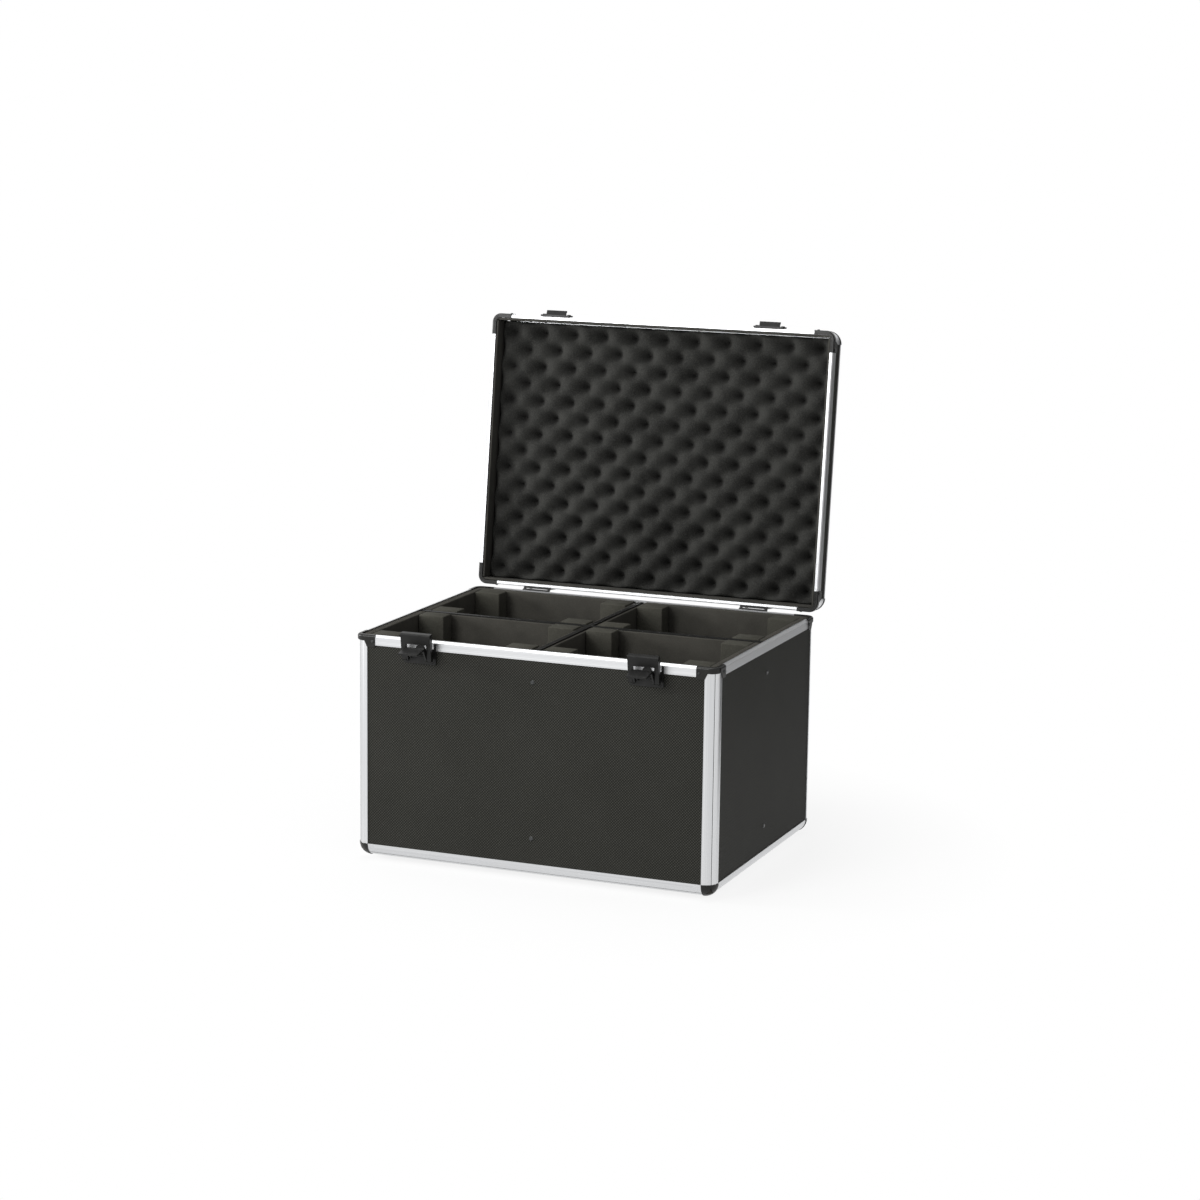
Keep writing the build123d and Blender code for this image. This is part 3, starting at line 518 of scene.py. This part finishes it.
# The number given to slabsFrom starts each piece in its own part of the noise
wallBoxes = mirrorFour((faceOut + c["gap"], roomY + c["gap"], c["floorTop"]),
                       (wallX, wallY, c["roomTop"]))
wallBoxes += mirrorFour((roomX + c["gap"], faceOut + c["gap"], c["floorTop"]),
                        (wallX, roomY, c["roomTop"]))
finishPiece(joinAll(slabsFrom(wallBoxes, 1)), "wall_liner_sheets", linerFoam, "base",
            "base_wall_liner")
floorBox = ((-roomX, -roomY, c["floorTop"]), (roomX, roomY, c["floorTop"] + c["floorPad"]))
finishPiece(joinAll(slabsFrom([floorBox], 20)), "floor_foam_pad", linerFoam, "base", "floor_pad")
endX, endY = wallX - c["dividerFoamEnd"], wallY - c["dividerFoamEnd"]
dividerBoxes = mirrorFour((faceOut + c["gap"], faceIn, roomLow),
                          (endX, faceOut, c["dividerFoamTop"]))
dividerBoxes += mirrorFour((faceIn, faceIn, roomLow), (faceOut, endY, c["dividerFoamTop"]))
finishPiece(joinAll(slabsFrom(dividerBoxes, 30)), "divider_foam_faces", linerFoam, "base",
            "divider_foam")
bayNames = {"rear_right": (1, 1), "front_right": (1, -1),
            "rear_left": (-1, 1), "front_left": (-1, -1)}
blockStartsX = (faceOut + c["gap"], roomX - c["blockWidth"])
blockStartsY = (faceOut + c["gap"], roomY - c["blockDepth"])
for number, (bay, (sx, sy)) in enumerate(bayNames.items()):
    bayBoxes = []
    for x in blockStartsX:
        for y in blockStartsY:
            xs = sorted((sx * x, sx * (x + c["blockWidth"])))
            ys = sorted((sy * y, sy * (y + c["blockDepth"])))
            bayBoxes.append(((xs[0], ys[0], roomLow), (xs[1], ys[1], c["roomTop"])))
    finishPiece(joinAll(slabsFrom(bayBoxes, 50 + number * 10)), "corner_blocks_" + bay, blockFoam,
                "base", "foam_blocks_" + bay)
print("base foam made")

roof = c["lidTop"] - c["linerFace"]
stripY = wallY - c["lidLiner"]
stripBoxes = [((-wallX, stripY, c["lidLinerLow"]), (wallX, wallY, roof)),
              ((-wallX, -wallY, c["lidLinerLow"]), (wallX, -stripY, roof)),
              ((-wallX, -stripY + c["gap"], c["lidLinerLow"]),
               (-wallX + c["lidLiner"], stripY - c["gap"], roof)),
              ((wallX - c["lidLiner"], -stripY + c["gap"], c["lidLinerLow"]),
               (wallX, stripY - c["gap"], roof))]
lidStrips = joinAll(slabsFrom(stripBoxes, 90, inLid))
openWithLid(lidStrips)
finishPiece(lidStrips, "lid_liner_strips", stripFoam, "lid", "lid_liner")

# Convoluted foam: one sheet cut by a wavy roller, so hills and hollows interlock.
crateFoamSheet = {
    "edgeGap": 1.3,      # mm inside the liner strips
    "slab": 5.0,         # mm left under the deepest hollow
    "hill": 26.0,        # mm from there to the hilltops
    "pitch": (48.0, 50.0),   # mm between hills along and across the rows, which are staggered
    "step": 1.7,         # mm between grid lines
    "fullness": 0.38,    # below 1 the hills are broader than the hollows
    "wander": 1.2,       # mm that the hills stray from their rows
    "wanderScale": 70.0,  # mm
    "wanderSeed": 4.2,
    "edgeRound": 3.0,    # mm in from the sawn edge where the face begins to fall
    "edgeFall": 0.6,     # share of that
}


def hillHeight(x, y):
    # 0 in a hollow, 1 on a hill; x and y in mm
    s = crateFoamSheet
    spot = Vector((x / s["wanderScale"], y / s["wanderScale"], s["wanderSeed"]))
    drift = noise.noise_vector(spot) * s["wander"]
    along, across = s["pitch"]
    level = (math.cos(2 * math.pi * (x + drift.x) / along)
             * math.cos(2 * math.pi * (y + drift.y) / across))
    return ((1 + level) / 2) ** s["fullness"]


def makeCrateFoam():
    # a grid whose rim is drawn up and closed as the flat back, then lowered to the hills
    s = crateFoamSheet
    reachX = wallX - c["lidLiner"] - s["edgeGap"]
    reachY = wallY - c["lidLiner"] - s["edgeGap"]
    clearSelection()
    bpy.ops.mesh.primitive_grid_add(x_subdivisions=int(2 * reachX / s["step"]),
                                    y_subdivisions=int(2 * reachY / s["step"]), size=1)
    sheet = bpy.context.object
    sheet.scale = (2 * reachX, 2 * reachY, 1)
    bpy.ops.object.transform_apply(location=True, rotation=True, scale=True)
    bpy.ops.object.mode_set(mode="EDIT")
    bpy.ops.mesh.select_all(action="SELECT")
    bpy.ops.mesh.region_to_loop()
    bpy.ops.mesh.extrude_region_move(TRANSFORM_OT_translate={"value": (0, 0, 1)})
    bpy.ops.mesh.edge_face_add()
    bpy.ops.object.mode_set(mode="OBJECT")
    for vertex in sheet.data.vertices:
        x, y, z = vertex.co
        if z > 0.5:
            place = (x, y, roof)
        else:
            edge = min(reachX - abs(x), reachY - abs(y))
            depth = s["slab"] + s["hill"] * hillHeight(x, y)
            if edge < s["edgeRound"]:
                depth -= (1 - edge / s["edgeRound"]) ** 2 * s["edgeRound"] * s["edgeFall"]
            place = (x, y, roof - depth)
        vertex.co = inLid(*place)
    bpy.ops.object.mode_set(mode="EDIT")
    bpy.ops.mesh.select_all(action="SELECT")
    bpy.ops.mesh.normals_make_consistent(inside=False)
    bpy.ops.object.mode_set(mode="OBJECT")
    openWithLid(sheet)
    return sheet


finishPiece(makeCrateFoam(), "egg_crate_sheet", crateFoam, "lid", "egg_crate_foam")
print("lid foam made")

# Studio: white floor and surroundings, and three soft lamps
studio = {
    "floorSize": 14.0,       # m
    "floorColour": "#f2f2f2",
    "floorGlow": (0.86, 1.0),     # share of plain white near the case and far from it
    "glowReach": (0.30, 0.60),    # m from the middle
    "worldStrength": 0.34,   # for light; the camera and reflections see plain white
}


def plainlySeen(tree):
    # 1 for rays of the camera, of reflections and through glass, 0 for rays of light
    rays = addNode(tree, "ShaderNodeLightPath")
    seen = mathNode(tree, "MAXIMUM", rays.outputs["Is Camera Ray"], rays.outputs["Is Glossy Ray"])
    return mathNode(tree, "MAXIMUM", seen, rays.outputs["Is Transmission Ray"])


def makeFloor():
    clearSelection()
    bpy.ops.mesh.primitive_plane_add(size=studio["floorSize"], location=(0, 0, 0))
    floor = bpy.context.object
    floor.name = "studio_floor"
    material, tree, shader = newMaterial("paper_sweep", {
        "Base Color": hexColour(studio["floorColour"]), "Roughness": 0.9,
        "Specular IOR Level": 0.1})
    output = next(n for n in tree.nodes if n.type == "OUTPUT_MATERIAL")
    glow = addNode(tree, "ShaderNodeEmission", {"Strength": 1.0})
    seen = plainlySeen(tree)
    place = objectCoords(tree)
    reach = addNode(tree, "ShaderNodeVectorMath", {"operation": "LENGTH"}, {0: place})
    near, far = studio["glowReach"]
    low, high = studio["floorGlow"]
    level = addNode(tree, "ShaderNodeMapRange",
                    {"From Min": near, "From Max": far, "To Min": low, "To Max": high},
                    {"Value": reach.outputs["Value"]})
    share = mathNode(tree, "MULTIPLY", seen, level.outputs["Result"])
    mix = addNode(tree, "ShaderNodeMixShader", None, {0: share, 1: shader.outputs["BSDF"],
                                                      2: glow.outputs["Emission"]})
    tree.links.new(mix.outputs["Shader"], output.inputs["Surface"])
    floor.data.materials.append(material)


def makeWorld():
    world = bpy.data.worlds.new("studio_world")
    bpy.context.scene.world = world
    world.use_nodes = True
    tree = world.node_tree
    tree.nodes.clear()
    base = studio["worldStrength"]
    strength = mathNode(tree, "MULTIPLY_ADD", plainlySeen(tree), 1 - base, base)
    back = addNode(tree, "ShaderNodeBackground", {"Color": (1, 1, 1, 1)}, {"Strength": strength})
    addNode(tree, "ShaderNodeOutputWorld", None, {"Surface": back.outputs["Background"]})


# Place and aim in metres, side of the square lamp in metres, power in watts
lamps = {
    "key_softbox": ((-1.6, -3.2, 1.7), (0, 0, 0.4), 1.4, 66.0),
    "raking_softbox": ((-3.0, -1.0, 1.0), (0, 0.1, 0.5), 0.7, 70.0),
    "top_softbox": ((-0.4, -0.4, 3.2), (0, 0, 0.2), 2.0, 36.0),
}


def addLamp(name, place, aim, size, power):
    lamp = bpy.data.lights.new(name, "AREA")
    lamp.shape = "RECTANGLE"
    lamp.size = lamp.size_y = size
    lamp.energy = power
    holder = bpy.data.objects.new(name, lamp)
    bpy.context.collection.objects.link(holder)
    holder.location = place
    holder.rotation_euler = (Vector(aim) - Vector(place)).to_track_quat("-Z", "Y").to_euler()


# A dark card to the right, seen only in reflections, gives the bright metal its darker side
darkCard = {
    "colour": "#1e1e1e",
    "right": 0.75,           # m from the middle
    "frontBack": (0.05, 2.4),
    "height": 1.3,
}


def makeDarkCard():
    front, back = darkCard["frontBack"]
    clearSelection()
    bpy.ops.mesh.primitive_plane_add(size=1, rotation=(0, math.radians(90), 0),
                                     location=(darkCard["right"], (front + back) / 2,
                                               darkCard["height"] / 2))
    card = bpy.context.object
    card.name = "studio_card"
    card.scale = (darkCard["height"], back - front, 1)
    material = newMaterial("card_black_paper", {
        "Base Color": hexColour(darkCard["colour"]), "Roughness": 0.9})[0]
    card.data.materials.append(material)
    card.visible_camera = False
    card.visible_diffuse = False
    card.visible_shadow = False


makeFloor()
makeDarkCard()
makeWorld()
for name, (place, aim, size, power) in lamps.items():
    addLamp(name, place, aim, size, power)

# Camera fitted to the case's edges in the photograph
view = {
    "turn": 22.27,           # degrees round to the right
    "rise": 10.88,           # degrees looking down
    "roll": 0.71,            # degrees
    "place": (1636.3, -3758.4, 1178.0),   # mm from the front face's middle on the floor
    "lens": 93.66,           # mm, on a square sensor
    "sensor": 36.0,          # mm
    "farEnd": 50,            # m
}


def makeCamera():
    turn, rise, roll = (math.radians(view[k]) for k in ("turn", "rise", "roll"))
    level = math.cos(rise)
    back = Vector((math.sin(turn) * level, -math.cos(turn) * level, math.sin(rise)))
    right = Vector((math.cos(turn), math.sin(turn), 0))
    up = back.cross(right)
    rolledRight = right * math.cos(roll) + up * math.sin(roll)
    rolledUp = up * math.cos(roll) - right * math.sin(roll)
    lens = bpy.data.cameras.new("photo_camera")
    lens.sensor_width = lens.sensor_height = view["sensor"]
    lens.sensor_fit = "HORIZONTAL"
    lens.lens = view["lens"]
    lens.clip_end = view["farEnd"]
    holder = bpy.data.objects.new("photo_camera", lens)
    bpy.context.collection.objects.link(holder)
    x, y, z = view["place"]
    turned = Matrix((rolledRight, rolledUp, back)).transposed().to_4x4()
    holder.matrix_world = Matrix.Translation(inCase(x, y - c["halfDepth"], z)) @ turned
    bpy.context.scene.camera = holder


makeCamera()
bpy.context.scene.view_settings.view_transform = "Standard"
print("studio and camera set")
